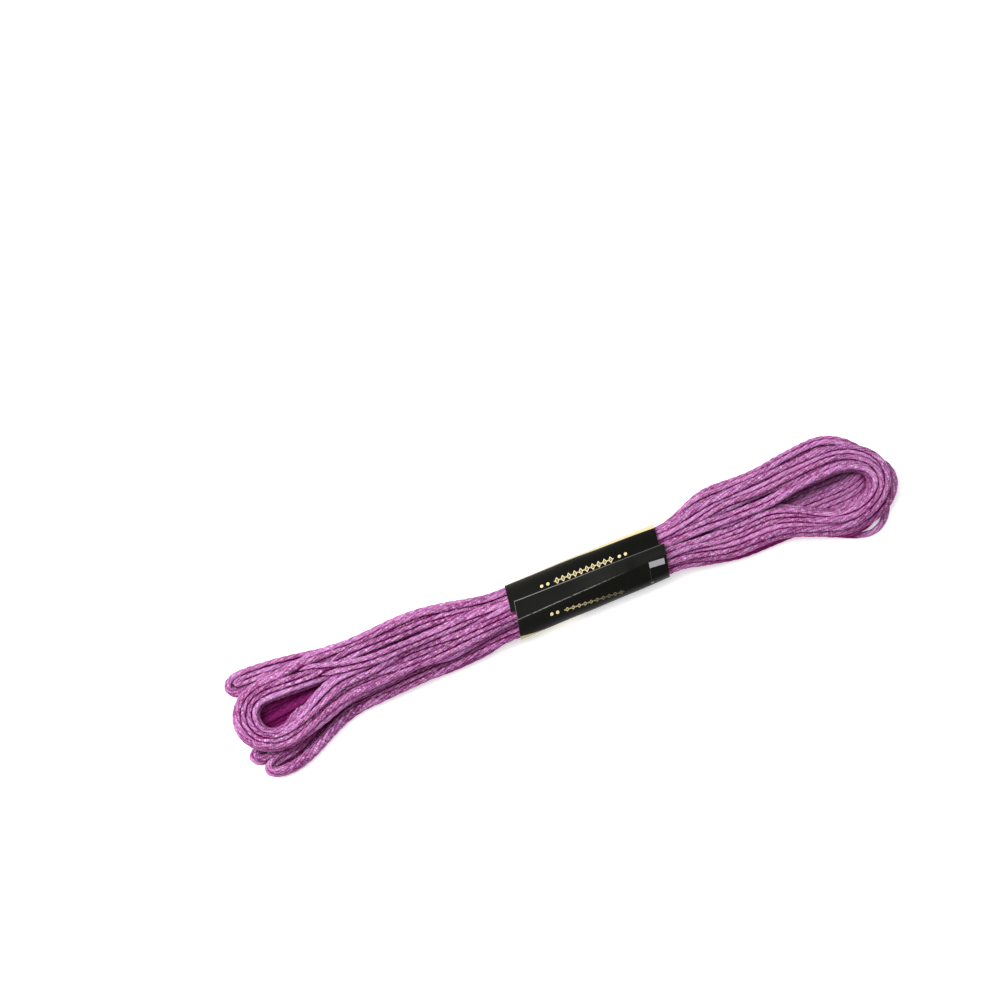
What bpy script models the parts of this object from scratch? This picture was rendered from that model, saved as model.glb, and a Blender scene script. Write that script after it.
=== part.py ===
"""A skein of stranded embroidery cotton in its paper band, lying flat on a surface.

Eight metres of six-strand cotton are wound in eight turns of a metre. The ring is pulled
straight and folded in three, so that 48 runs lie side by side, and a paper band is wrapped
tightly round the middle. Each end of the skein then has a fold, where sixteen turns bend
back together, and an end loop, where eight do.

Frame: +Z up, X along the skein, -Y the front edge. The origin is under the middle of the
bounding box, on the surface that the skein lies on. Lengths in the tables are millimetres.
"""

import math
from collections import namedtuple

import bpy
import numpy as np

MM = 0.001

# The yarn
RUN_AREA = 1.17  # of the bundle's section for each run of yarn, with the air round it
RIB_DEPTH = 0.16  # of the grooves between neighbouring runs

# The bundle where the band grips it: an ellipse, pressed flat underneath
WAIST_HALF_WIDTH = 5.75
WAIST_HALF_HEIGHT = 3.1
WAIST_FLAT = 0.32  # how much of the ellipse is pressed away underneath
WAIST_Y = 1.18

# The paper band, which sits slightly askew on the yarn
BAND_LEFT = -12.9
BAND_RIGHT = 23.7
BAND_SKEW = 0.15  # millimetres towards the right for each millimetre towards the back
BAND_WALL = 0.4
BAND_GAP = 0.3  # between the yarn and the paper
FLAP_WALL = 0.35
FLAP_SINK = 0.1  # how deep the flap is bedded in the wall under it
FLAP_SHIFT = 1.3  # the outer wrap lies this much further right than the inner one
FLAP_EDGE_Y = (3.1, 2.1)  # the free edge on top, at its left and right end
FLAP_END_ANGLE = -122  # degrees round the ellipse, where the flap runs out underneath
CREASE_ANGLE = 116  # degrees round the ellipse, of the crease that the flat-packed paper kept
CREASE_REACH = 34
CREASE_RISE = 0.3

MOUTH_LEFT = -14.0  # where the bundle is clear of the band
MOUTH_RIGHT = 25.4

WAIST_FLOOR = BAND_WALL + BAND_GAP
WAIST_Z = WAIST_FLOOR + WAIST_HALF_HEIGHT - WAIST_FLAT

# The shape of every loop
LEG_SINK = 5.0  # how far a leg reaches into the waist
LEG_STEPS = 16
TURN_STEPS = 19
FLARE_SLOPE = 0.36  # how fast the bundle may widen outside the band
FLARE_REACH = 0.38  # of a leg's length, over which it does
MOUTH_FILL = 1.4  # how much a ribbon swells where the band presses the legs together
SWELL_REACH = 12.0  # how far outside the mouth that swelling ends
EDGE_SHARE = 0.985  # of the ellipse's half width, where a ribbon's edge stops
SLIT = 0.12  # half of the gap between the two legs of a loop
CROWN = 3.0  # the power of the superellipse that rounds a ribbon's section

Turn = namedtuple("Turn", "x y half_length half_width")
Leg = namedtuple("Leg", "mouth_inner mouth_outer run_inner run_outer run_z turn_z")
Loop = namedtuple("Loop", "side tuck runs ribs bend_from inner outer upper lower")

# A loop is a flat ribbon of runs between an inner and an outer line. Each line leaves the
# band at mouth_y, widens to run_y, and from bend_from of its way goes over into the turn.
LOOPS = {
    "left_fold": Loop(
        side=-1,
        tuck=0.12,
        runs=16,
        ribs=6,
        bend_from=0.6,
        inner=Turn(x=-70.6, y=1.0, half_length=3.0, half_width=2.3),
        outer=Turn(x=-70.4, y=0.7, half_length=10.0, half_width=8.8),
        upper=Leg(2.9, 6.6, 3.4, 10.3, run_z=3.6, turn_z=2.8),
        lower=Leg(2.9, -1.6, 3.0, -4.2, run_z=4.4, turn_z=4.1),
    ),
    "left_end": Loop(
        side=-1,
        tuck=0.17,
        runs=8,
        ribs=4,
        bend_from=0.6,
        inner=Turn(x=-72.6, y=-9.6, half_length=2.6, half_width=0.6),
        outer=Turn(x=-72.4, y=-9.3, half_length=7.5, half_width=4.4),
        upper=Leg(-1.6, 0.6, -2.6, 1.4, run_z=1.9, turn_z=1.0),
        lower=Leg(-1.6, -4.3, -2.6, -6.2, run_z=2.2, turn_z=1.0),
    ),
    "left_stray": Loop(
        side=-1,
        tuck=0.22,
        runs=4,
        ribs=3,
        bend_from=0.5,
        inner=Turn(x=-73.6, y=10.2, half_length=2.0, half_width=0.45),
        outer=Turn(x=-73.6, y=9.8, half_length=4.6, half_width=3.1),
        upper=Leg(5.0, 6.6, 8.4, 10.5, run_z=2.5, turn_z=1.9),
        lower=Leg(5.0, 3.4, 8.4, 6.0, run_z=2.3, turn_z=1.8),
    ),
    "right_fold": Loop(
        side=1,
        tuck=0.14,
        runs=16,
        ribs=6,
        bend_from=0.5,
        inner=Turn(x=69.6, y=-2.5, half_length=4.4, half_width=2.6),
        outer=Turn(x=67.0, y=-1.4, half_length=12.2, half_width=9.9),
        upper=Leg(1.2, 5.4, 0.9, 8.4, run_z=4.4, turn_z=4.2),
        lower=Leg(1.2, -4.3, 0.9, -7.2, run_z=3.7, turn_z=3.0),
    ),
    "right_end": Loop(
        side=1,
        tuck=0.19,
        runs=8,
        ribs=5,
        bend_from=0.4,
        inner=Turn(x=66.6, y=-0.4, half_length=8.0, half_width=7.4),
        outer=Turn(x=65.5, y=0.7, half_length=14.9, half_width=13.0),
        upper=Leg(3.4, 6.6, 4.6, 10.6, run_z=2.2, turn_z=1.0),
        lower=Leg(3.4, -3.4, -0.6, -7.2, run_z=1.4, turn_z=0.7),
    ),
}

# The core fills what the two legs of a fold leave open, from the band to the loop's eye.
Core = namedtuple("Core", "x y half_width half_height z")
CORE = [
    Core(x=-43.0, y=3.3, half_width=0.5, half_height=0.5, z=3.5),
    Core(x=-37.0, y=3.2, half_width=1.3, half_height=1.0, z=3.6),
    Core(x=-27.0, y=2.1, half_width=3.3, half_height=1.7, z=3.4),
    Core(x=-17.0, y=1.6, half_width=4.6, half_height=2.5, z=3.5),
    Core(x=-10.0, y=WAIST_Y, half_width=5.45, half_height=2.85, z=WAIST_Z),
    Core(x=21.0, y=WAIST_Y, half_width=5.45, half_height=2.85, z=WAIST_Z),
    Core(x=29.0, y=1.1, half_width=4.2, half_height=2.3, z=3.5),
    Core(x=38.0, y=0.9, half_width=2.4, half_height=1.4, z=3.6),
    Core(x=43.0, y=0.9, half_width=0.8, half_height=0.7, z=3.7),
]
CORE_POINTS = 24
BAND_POINTS = 48
FLAP_POINTS = 20
FLAP_STATIONS = 6
YARN_COLOUR = (0.47, 0.19, 0.41)
PAPER_COLOUR = (0.02, 0.02, 0.017)


def smooth(t):
    """An S-curve from 0 to 1 with level ends."""
    t = np.clip(t, 0.0, 1.0)
    return t * t * (3.0 - 2.0 * t)


def blend(start, end, share):
    return start + (end - start) * share


def mouth_of(side):
    return MOUTH_LEFT if side < 0 else MOUTH_RIGHT


def leg_heights(loop, leg, t):
    """The middle height of the ribbon along a leg, from the waist at t 0 to the turn at 1."""
    leaving = blend(WAIST_Z, leg.run_z, smooth(t / 0.5))
    return blend(leaving, leg.turn_z, smooth((t - loop.bend_from) / (1 - loop.bend_from)))


def leg_line(loop, leg, turn, mouth_y, run_y, sign, t):
    """(x, y) of the inner or outer line along a leg. sign is 1 on the upper leg, -1 on the lower."""
    mouth_x = mouth_of(loop.side)
    start_x = mouth_x - loop.side * LEG_SINK
    x = blend(start_x, turn.x, t)
    outside = np.clip((x - mouth_x) / (turn.x - mouth_x), 0.0, 1.0)
    flared = blend(mouth_y, run_y, smooth(outside / FLARE_REACH))
    turn_y = turn.y + sign * turn.half_width
    bend = smooth((outside - loop.bend_from) / (1 - loop.bend_from))
    return x, blend(flared, turn_y, bend)


def loop_line(loop, which):
    """(x, y) all the way round a loop: the upper leg out, the turn, and the lower leg back."""
    turn = getattr(loop, which)
    gap = SLIT if which == "inner" else 0.0
    out = np.linspace(0.0, 1.0, LEG_STEPS, endpoint=False)
    angle = np.linspace(math.pi / 2, -math.pi / 2, TURN_STEPS)
    mouth, run = "mouth_" + which, "run_" + which
    upper = leg_line(
        loop, loop.upper, turn, getattr(loop.upper, mouth) + gap, getattr(loop.upper, run) + gap, 1, out
    )
    lower = leg_line(
        loop, loop.lower, turn, getattr(loop.lower, mouth) - gap, getattr(loop.lower, run) - gap, -1, out
    )
    around_x = turn.x + loop.side * turn.half_length * np.cos(angle)
    around_y = turn.y + turn.half_width * np.sin(angle)
    x = np.concatenate([upper[0], around_x, lower[0][::-1]])
    y = np.concatenate([upper[1], around_y, lower[1][::-1]])
    return x, y


def loop_heights(loop):
    """The ribbon's middle height at each station of loop_line."""
    out = np.linspace(0.0, 1.0, LEG_STEPS, endpoint=False)
    around = smooth(np.linspace(0.0, 1.0, TURN_STEPS))
    return np.concatenate(
        [
            leg_heights(loop, loop.upper, out),
            blend(loop.upper.turn_z, loop.lower.turn_z, around),
            leg_heights(loop, loop.lower, out)[::-1],
        ]
    )


def held_by_band(loop, x, y, z, groove):
    """Keeps a point inside the waist's ellipse under the band, and inside a flare beyond it."""
    beyond = max(0.0, loop.side * (x - mouth_of(loop.side)))
    grown = FLARE_SLOPE * beyond - loop.tuck
    half_width, half_height = WAIST_HALF_WIDTH + grown, WAIST_HALF_HEIGHT + grown
    away = min(abs(y - WAIST_Y) / half_width, EDGE_SHARE)
    roof = half_height * math.sqrt(1 - away * away)
    y = WAIST_Y + math.copysign(away * half_width, y - WAIST_Y)
    z = WAIST_Z + min(max(z - WAIST_Z, -roof), roof) - groove
    return x, y, max(z, WAIST_FLOOR - grown, 0.0)


def ribbon_section(loop, inner, outer, z):
    """One section of a loop's ribbon: a ribbed crown on top, a plain belly underneath."""
    width = math.dist(inner, outer)
    beyond = loop.side * (inner[0] - mouth_of(loop.side))
    fill = blend(MOUTH_FILL, 1.0, smooth(beyond / SWELL_REACH))
    half_thick = 0.5 * fill * loop.runs * RUN_AREA / width
    tops = [k / (2 * loop.ribs) for k in range(2 * loop.ribs + 1)]
    bellies = [k / loop.ribs for k in range(loop.ribs - 1, 0, -1)]
    points = []
    for k, share in enumerate(tops):
        crown = (1 - abs(2 * share - 1) ** CROWN) ** (1 / CROWN)
        groove = RIB_DEPTH if k % 2 == 0 and 0 < share < 1 else 0.0
        points.append((share, z + half_thick * crown, groove))
    for share in bellies:
        crown = (1 - abs(2 * share - 1) ** CROWN) ** (1 / CROWN)
        points.append((share, z - half_thick * crown, 0.0))
    return [
        held_by_band(loop, blend(inner[0], outer[0], share), blend(inner[1], outer[1], share), height, groove)
        for share, height, groove in points
    ]


def closed_mesh(name, rings):
    """A solid skinned over rings of points, with a cap at both ends, its faces pointing out."""
    count = len(rings[0])
    corners = [tuple(c * MM for c in point) for ring in rings for point in ring]
    faces = [list(range(count)), list(range(len(corners) - count, len(corners)))[::-1]]
    for i in range(len(rings) - 1):
        for j in range(count):
            a, b = i * count + j, i * count + (j + 1) % count
            faces.append([b, a, a + count, b + count])
    mesh = bpy.data.meshes.new(name)
    mesh.from_pydata(corners, [], faces)
    if signed_volume(mesh) < 0:
        mesh.flip_normals()
    mesh.shade_smooth()
    mesh.set_sharp_from_angle(angle=math.radians(50))
    return mesh


def signed_volume(mesh):
    mesh.calc_loop_triangles()
    corners = [[mesh.vertices[i].co for i in tri.vertices] for tri in mesh.loop_triangles]
    return sum(a.dot(b.cross(c)) for a, b, c in corners) / 6


def loop_rings(loop):
    inner_x, inner_y = loop_line(loop, "inner")
    outer_x, outer_y = loop_line(loop, "outer")
    heights = loop_heights(loop)
    return [
        ribbon_section(loop, (inner_x[i], inner_y[i]), (outer_x[i], outer_y[i]), heights[i])
        for i in range(len(heights))
    ]


def core_rings():
    angles = [2 * math.pi * k / CORE_POINTS for k in range(CORE_POINTS)]
    return [
        [
            (
                row.x,
                row.y + row.half_width * math.cos(a),
                max(row.z + row.half_height * math.sin(a), WAIST_FLOOR + BAND_GAP),
            )
            for a in angles
        ]
        for row in CORE
    ]


def waist_point(angle, grown, creased=False):
    """(y, z) on the waist's outline, moved out by grown. Underneath it stays level."""
    if creased:
        away = abs(math.degrees(angle) - CREASE_ANGLE) / CREASE_REACH
        grown = grown + CREASE_RISE * max(0.0, 1.0 - away) ** 1.4
    y = WAIST_Y + (WAIST_HALF_WIDTH + grown) * math.cos(angle)
    z = WAIST_Z + (WAIST_HALF_HEIGHT + grown) * math.sin(angle)
    return y, max(z, WAIST_FLOOR - grown)


def askew(x, point):
    y, z = point
    return x + BAND_SKEW * (y - WAIST_Y), y, z


def band_mesh():
    """The inner wrap: a sleeve with an open bore that follows the waist."""
    angles = [2 * math.pi * k / BAND_POINTS for k in range(BAND_POINTS)]
    outer = BAND_GAP + BAND_WALL
    rings = [(BAND_LEFT, BAND_GAP), (BAND_RIGHT, BAND_GAP), (BAND_RIGHT, outer), (BAND_LEFT, outer)]
    lines = [[askew(x, waist_point(a, grown, creased=True)) for a in angles] for x, grown in rings]
    corners = [tuple(c * MM for c in point) for line in lines for point in line]
    faces = []
    for i in range(4):
        for j in range(BAND_POINTS):
            k, n = (j + 1) % BAND_POINTS, (i + 1) % 4
            faces.append([i * BAND_POINTS + j, i * BAND_POINTS + k, n * BAND_POINTS + k, n * BAND_POINTS + j])
    mesh = bpy.data.meshes.new("band")
    mesh.from_pydata(corners, [], faces)
    if signed_volume(mesh) < 0:
        mesh.flip_normals()
    mesh.shade_smooth()
    mesh.set_sharp_from_angle(angle=math.radians(30))
    return mesh


def flap_rings():
    """The outer wrap: it starts at a slanting free edge on top and goes down the front."""
    inner = BAND_GAP + BAND_WALL - FLAP_SINK
    outer = inner + FLAP_WALL
    rings = []
    for i in range(FLAP_STATIONS + 1):
        share = i / FLAP_STATIONS
        x = blend(BAND_LEFT, BAND_RIGHT, share) + FLAP_SHIFT
        edge_y = blend(FLAP_EDGE_Y[0], FLAP_EDGE_Y[1], share)
        start = math.acos((edge_y - WAIST_Y) / (WAIST_HALF_WIDTH + outer))
        end = math.radians(FLAP_END_ANGLE % 360)
        angles = [blend(start, end, k / FLAP_POINTS) for k in range(FLAP_POINTS + 1)]
        crest = [waist_point(a, outer, creased=True) for a in angles[:-1]]
        crest.append(waist_point(angles[-1], inner + 0.3 * FLAP_SINK, creased=True))
        belly = [waist_point(a, inner, creased=True) for a in angles[::-1]]
        rings.append([askew(x, point) for point in crest + belly])
    return rings


def material(name, colour, roughness, metallic=0.0):
    made = bpy.data.materials.new(name)
    made.use_nodes = True
    shader = made.node_tree.nodes["Principled BSDF"]
    shader.inputs["Base Color"].default_value = (*colour, 1.0)
    shader.inputs["Roughness"].default_value = roughness
    shader.inputs["Metallic"].default_value = metallic
    made.diffuse_color = (*colour, 1.0)
    return made


def place(name, mesh, finish):
    mesh.materials.append(finish)
    made = bpy.data.objects.new(name, mesh)
    bpy.context.scene.collection.objects.link(made)
    return made


def join(target, other):
    """Fuses a helper solid into target with a Boolean union, and hides the helper."""
    other.hide_render = True
    other.display_type = "WIRE"
    union = target.modifiers.new("join_" + other.name, "BOOLEAN")
    union.operation = "UNION"
    union.solver = "EXACT"
    union.object = other


def build():
    for old in list(bpy.data.objects):
        bpy.data.objects.remove(old)

    cotton = material("orchid_cotton", YARN_COLOUR, roughness=0.55)
    paper = material("black_paper", PAPER_COLOUR, roughness=0.35)

    skein = place("skein", closed_mesh("core", core_rings()), cotton)
    for name, loop in LOOPS.items():
        join(skein, place(name, closed_mesh(name, loop_rings(loop)), cotton))

    band = place("band", band_mesh(), paper)
    join(band, place("band_flap", closed_mesh("band_flap", flap_rings()), paper))


build()
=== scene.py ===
"""Looks of a skein of stranded embroidery cotton in its printed paper band.

The yarn is one thread, which goes round in eight turns of six runs each. Every run is modelled,
with its six strands, and the whole winding is settled until its runs lie on each other. The
band is one sheet of black paper, wrapped once round the middle.

Lengths in the classes below are millimetres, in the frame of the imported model.
"""

from __future__ import annotations

import itertools
import logging
import math
from collections.abc import Callable
from dataclasses import dataclass, field
from enum import Enum

import bpy
import numpy as np
from bpy.types import ID, Material, NodeSocket, Object
from mathutils import Matrix, Vector


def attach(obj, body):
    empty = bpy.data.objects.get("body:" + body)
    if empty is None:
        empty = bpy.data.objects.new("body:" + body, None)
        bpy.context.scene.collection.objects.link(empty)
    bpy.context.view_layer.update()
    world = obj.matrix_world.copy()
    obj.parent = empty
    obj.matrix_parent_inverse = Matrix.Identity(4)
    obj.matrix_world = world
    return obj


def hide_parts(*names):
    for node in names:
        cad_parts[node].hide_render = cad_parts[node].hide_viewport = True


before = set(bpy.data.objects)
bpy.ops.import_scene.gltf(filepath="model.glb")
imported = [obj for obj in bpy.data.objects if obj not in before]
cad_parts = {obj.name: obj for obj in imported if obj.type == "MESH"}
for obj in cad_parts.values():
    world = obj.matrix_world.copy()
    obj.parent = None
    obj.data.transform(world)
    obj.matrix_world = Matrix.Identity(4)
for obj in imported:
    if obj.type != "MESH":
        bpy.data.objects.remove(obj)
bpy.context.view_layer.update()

MM = 0.001
LOG = logging.getLogger("skein")
Array = np.ndarray
Values = Array | float
Colour = tuple[float, float, float]


def smooth(share: Values) -> Values:
    """Returns the S-curve of a share, clipped to the range from 0 to 1."""
    share = np.clip(share, 0.0, 1.0)
    return share * share * (3.0 - 2.0 * share)


def blend(start: Values, end: Values, share: Values) -> Values:
    """Returns the value that lies the given share of the way from start to end."""
    return start + (end - start) * share


def norms(rows: Array) -> Array:
    """Returns the length of each row."""
    return np.linalg.norm(rows, axis=-1)


def unit(rows: Array) -> Array:
    """Returns each row at length one."""
    return rows / np.maximum(norms(rows)[..., None], 1e-9)


def travelled(points: Array) -> Array:
    """Returns how far along a line each of its points lies."""
    return np.concatenate([[0.0], np.cumsum(norms(np.diff(points, axis=0)))])


def gathered(owners: Array, rows: Array, count: int) -> Array:
    """Returns, for each of count points, the sum of the rows that it owns."""
    return np.stack([np.bincount(owners, column, count) for column in rows.T], 1)


def near_pairs(points: Array, reach: float, apart: int) -> tuple[Array, Array]:
    """Finds the points that lie near each other, but not next to each other along the yarn.

    Args:
        points: All points, in order along the yarn.
        reach: The greatest distance.
        apart: How many places along the yarn two points are apart at least.

    Returns:
        The indices of each pair's two points, the lower one first.
    """
    cell = np.floor((points - points.min(0)) / reach).astype(np.int64) + 1
    span = cell.max(0) + 2
    key = (cell[:, 0] * span[1] + cell[:, 1]) * span[2] + cell[:, 2]
    order = np.argsort(key, kind="stable")
    ranked = key[order]
    pairs = []
    for dx, dy, dz in itertools.product((-1, 0, 1), repeat=3):
        near = key + (dx * span[1] + dy) * span[2] + dz
        low = np.searchsorted(ranked, near, side="left")
        count = np.searchsorted(ranked, near, side="right") - low
        who = np.repeat(np.arange(len(key)), count)
        place = np.arange(len(who)) - np.repeat(np.cumsum(count) - count, count)
        other = order[np.repeat(low, count) + place]
        keep = other - who >= apart
        pairs.append((who[keep], other[keep]))
    a, b = (np.concatenate(ends) for ends in zip(*pairs))
    close = norms(points[a] - points[b]) < reach
    return a[close], b[close]


class Side(Enum):
    """The end of the skein that a loop lies at, as the sign of its X."""

    LEFT = -1
    RIGHT = 1


class Way(Enum):
    """The leg by which the yarn enters a loop."""

    BY_UPPER = 1
    BY_LOWER = -1


@dataclass(frozen=True)
class Waist:
    """The ellipse that the band presses the yarn into, and how the yarn widens outside it."""

    y: float = 1.18
    z: float = 3.48
    half_width: float = 5.75
    half_height: float = 3.1
    floor: float = 0.7
    mouth_left: float = -14.0
    mouth_right: float = 25.4
    flare: float = 0.37
    sag: float = 2.7
    sag_reach: float = 3.0
    low_depth: float = 1.5
    pack_share: float = 0.45

    def mouth(self, side: Side) -> float:
        """Returns the X at which the yarn leaves the band on that side."""
        return self.mouth_left if side is Side.LEFT else self.mouth_right

    def lowness(self, z: Values) -> Values:
        """Returns 0 for heights above the middle, rising to 1 at low_depth below it."""
        return smooth((self.z - z) / self.low_depth)

    def outline(self, angle: Array, grown: Values) -> tuple[Array, Array]:
        """Gives points of the section, which is pressed level underneath.

        Args:
            angle: The ellipse's parameter, in radians.
            grown: How far the outline is moved out.

        Returns:
            The Y and Z of each point.
        """
        y = self.y + (self.half_width + grown) * np.cos(angle)
        z = self.z + (self.half_height + grown) * np.sin(angle)
        return y, np.maximum(z, self.floor - grown)

    def hold(self, y: Array, z: Array, grown: Values) -> tuple[Array, Array]:
        """Moves points in where they stand out of the section.

        Args:
            y: Their Y.
            z: Their Z.
            grown: How far the outline is moved out, less than nothing for inwards.

        Returns:
            Their new Y and Z.
        """
        dy, dz = y - self.y, z - self.z
        reach = np.hypot(dy / (self.half_width + grown), dz / (self.half_height + grown))
        shrink = 1.0 / np.maximum(reach, 1.0)
        return self.y + dy * shrink, np.maximum(self.z + dz * shrink, self.floor - grown)

    def packed(self, places: Array, spacing: float, grown: float, rounds: int = 400) -> Array:
        """Spreads the runs over the section, so that no two are in one place.

        Args:
            places: The (y, z) rows where the runs would like to be.
            spacing: How far apart two runs lie.
            grown: How far the outline of their middles is moved out.
            rounds: How often they are pushed apart.

        Returns:
            The new rows.
        """
        spread = places.copy()
        for _ in range(rounds):
            gap = spread[None, :, :] - spread[:, None, :]
            away = norms(gap) + np.eye(len(spread)) * 1e3
            deep = np.maximum(spacing - away, 0.0)
            spread -= self.pack_share * np.sum(gap / away[..., None] * deep[..., None], axis=1)
            spread = np.stack(self.hold(spread[:, 0], spread[:, 1], grown), 1)
        return spread


@dataclass(frozen=True)
class Turn:
    """Half an ellipse, where a line of a loop goes round."""

    x: float
    y: float
    half_length: float
    half_width: float


@dataclass(frozen=True)
class Leg:
    """One of the two straights of a loop, from the band to the turn."""

    mouth_inner: float
    mouth_outer: float
    run_inner: float
    run_outer: float
    run_z: float
    turn_z: float


@dataclass(frozen=True)
class Loop:
    """A flat ribbon of runs that goes out along one leg, round a turn and back along the other."""

    side: Side
    count: int
    rows: int
    bend_from: float
    inner: Turn
    outer: Turn
    upper: Leg
    lower: Leg
    loose: int = 0
    loose_gap: float = 0.25
    loose_at: float = 0.0
    loose_reach: float = 40.0
    wander: float = 0.9
    loose_wander: float = 0.15
    hop: float = 0.6
    lift_limit: float = 1.2
    knots: tuple[float, ...] = (0.0, 0.2, 0.4, 0.6, 0.8, 1.0)
    freedom: tuple[float, ...] = (0.3, 1.0, 1.0, 1.0, 0.7, 0.0)
    # Painted shade for loops whose turn lies inside another: how much, where along the leg it starts, and
    # over what share it grows.
    painted_shade: float = 0.0
    painted_shade_from: float = 0.4
    painted_shade_reach: float = 0.3
    run_area: float = 1.12
    mouth_rise: float = 0.55
    rise_reach: float = 0.5
    flare_reach: float = 0.38
    leg_degrees: float = 400.0
    leg_stations: int = 64
    turn_stations: int = 40

    def stations(self) -> tuple[Array, Array]:
        """Spaces the loop's stations.

        Returns:
            The share along the leg, 0 at the band and 1 in the turn, and the angle in the turn.
        """
        out = np.linspace(0.0, 1.0, self.leg_stations, endpoint=False)
        around = np.linspace(math.pi / 2, -math.pi / 2, self.turn_stations)
        share = np.concatenate([out, np.ones(self.turn_stations), out[::-1]])
        return share, np.concatenate([np.full(len(out), around[0]), around, np.full(len(out), around[-1])])

    def _of_leg(self, size: str) -> Array:
        """Returns one size of the leg that each station belongs to."""
        return np.where(self.stations()[1] > 0, getattr(self.upper, size), getattr(self.lower, size))

    def _bend(self, share: Array) -> Array:
        """Returns how far a leg has bent over into the turn."""
        return smooth((share - self.bend_from) / (1 - self.bend_from))

    def line(self, waist: Waist, which: str) -> Array:
        """Follows the inner or the outer line of the ribbon.

        Args:
            waist: The section inside the band.
            which: Either "inner" or "outer".

        Returns:
            One (x, y) row for each station.
        """
        share, angle = self.stations()
        turn: Turn = getattr(self, which)
        flared = smooth(share / self.flare_reach)
        run = blend(self._of_leg("mouth_" + which), self._of_leg("run_" + which), flared)
        x = blend(waist.mouth(self.side), turn.x, share)
        y = blend(run, turn.y + np.sign(angle) * turn.half_width, self._bend(share))
        turned_x = turn.x + self.side.value * turn.half_length * np.cos(angle)
        turned_y = turn.y + turn.half_width * np.sin(angle)
        turning = share >= 1.0
        return np.stack([np.where(turning, turned_x, x), np.where(turning, turned_y, y)], 1)

    def heights(self, waist: Waist) -> Array:
        """Gives the ribbon's middle height.

        Args:
            waist: The section inside the band.

        Returns:
            The height at each station.
        """
        share, angle = self.stations()
        run = self._of_leg("run_z")
        leaving = blend(waist.z + self.mouth_rise * (run - waist.z), run, smooth(share / self.rise_reach))
        out = blend(leaving, self._of_leg("turn_z"), self._bend(share))
        over = smooth(0.5 - angle / math.pi)
        return np.where(share >= 1.0, blend(self.upper.turn_z, self.lower.turn_z, over), out)

    def paths(self, waist: Waist, radius: float, rng: np.random.Generator) -> list[Array]:
        """Lays out the runs of the ribbon, before they are settled.

        Args:
            waist: The section inside the band.
            radius: The yarn's radius.
            rng: The source of the uneven places.

        Returns:
            One array of points for each loop of yarn, from the upper leg's mouth to the lower's.
            Its fourth column is how much the yarn clings to its neighbours there, and its
            fifth how much shade is painted on it because its turn lies inside another.
        """
        share, angle = self.stations()
        inner, outer = self.line(waist, "inner"), self.line(waist, "outer")
        width = norms(outer - inner)
        height = self.heights(waist)
        thick = np.maximum(0.5 * self.count * self.run_area / width - radius, 0.0)
        margin = radius / width
        ranks = (np.arange(self.count) + 0.5) / self.count
        levels = np.linspace(-1.0, 1.0, self.rows)[np.arange(self.count) % self.rows]
        off = np.degrees(angle) - self.loose_at + np.sign(angle) * (1 - share) * self.leg_degrees
        turning = np.exp(-((off / self.loose_reach) ** 2))
        made = []
        for k in rng.permutation(self.count):
            loose = k >= self.count - self.loose
            wander = self.wander * (self.loose_wander if loose else 1.0)
            drawn_in = 1 - self.loose_gap * turning if self.loose and not loose else 1.0
            across, lift = ranks[k] * drawn_in * np.ones(len(share)), np.full(len(share), float(levels[k]))
            for sign in (1, -1):
                leg = np.sign(angle) == sign
                across = across + leg * self._strayed(share, rng, wander) / width
                lift = lift + leg * self._strayed(share, rng, self.hop)
            across = blend(margin, 1 - margin, np.clip(across, 0.0, 1.0))
            flat = blend(inner, outer, across[:, None])
            level = height + np.clip(lift, -self.lift_limit, self.lift_limit) * thick
            painted_shade = self.painted_shade * smooth((share - self.painted_shade_from) / self.painted_shade_reach)
            made.append(np.column_stack([flat, level, 1 - loose * turning, painted_shade]))
        return made

    def _strayed(self, share: Array, rng: np.random.Generator, spread: float) -> Array:
        """Draws how far a run strays from its place along a leg.

        Args:
            share: The places along the leg.
            rng: The source of the stray at each knot.
            spread: How far it strays, as a standard deviation.

        Returns:
            The stray at each place, eased from knot to knot.
        """
        knots = np.array(self.knots)
        values = rng.normal(0.0, spread, len(knots)) * np.array(self.freedom)
        at = np.clip(np.searchsorted(knots, share, side="right") - 1, 0, len(knots) - 2)
        return blend(values[at], values[at + 1], smooth((share - knots[at]) / (knots[at + 1] - knots[at])))


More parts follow.
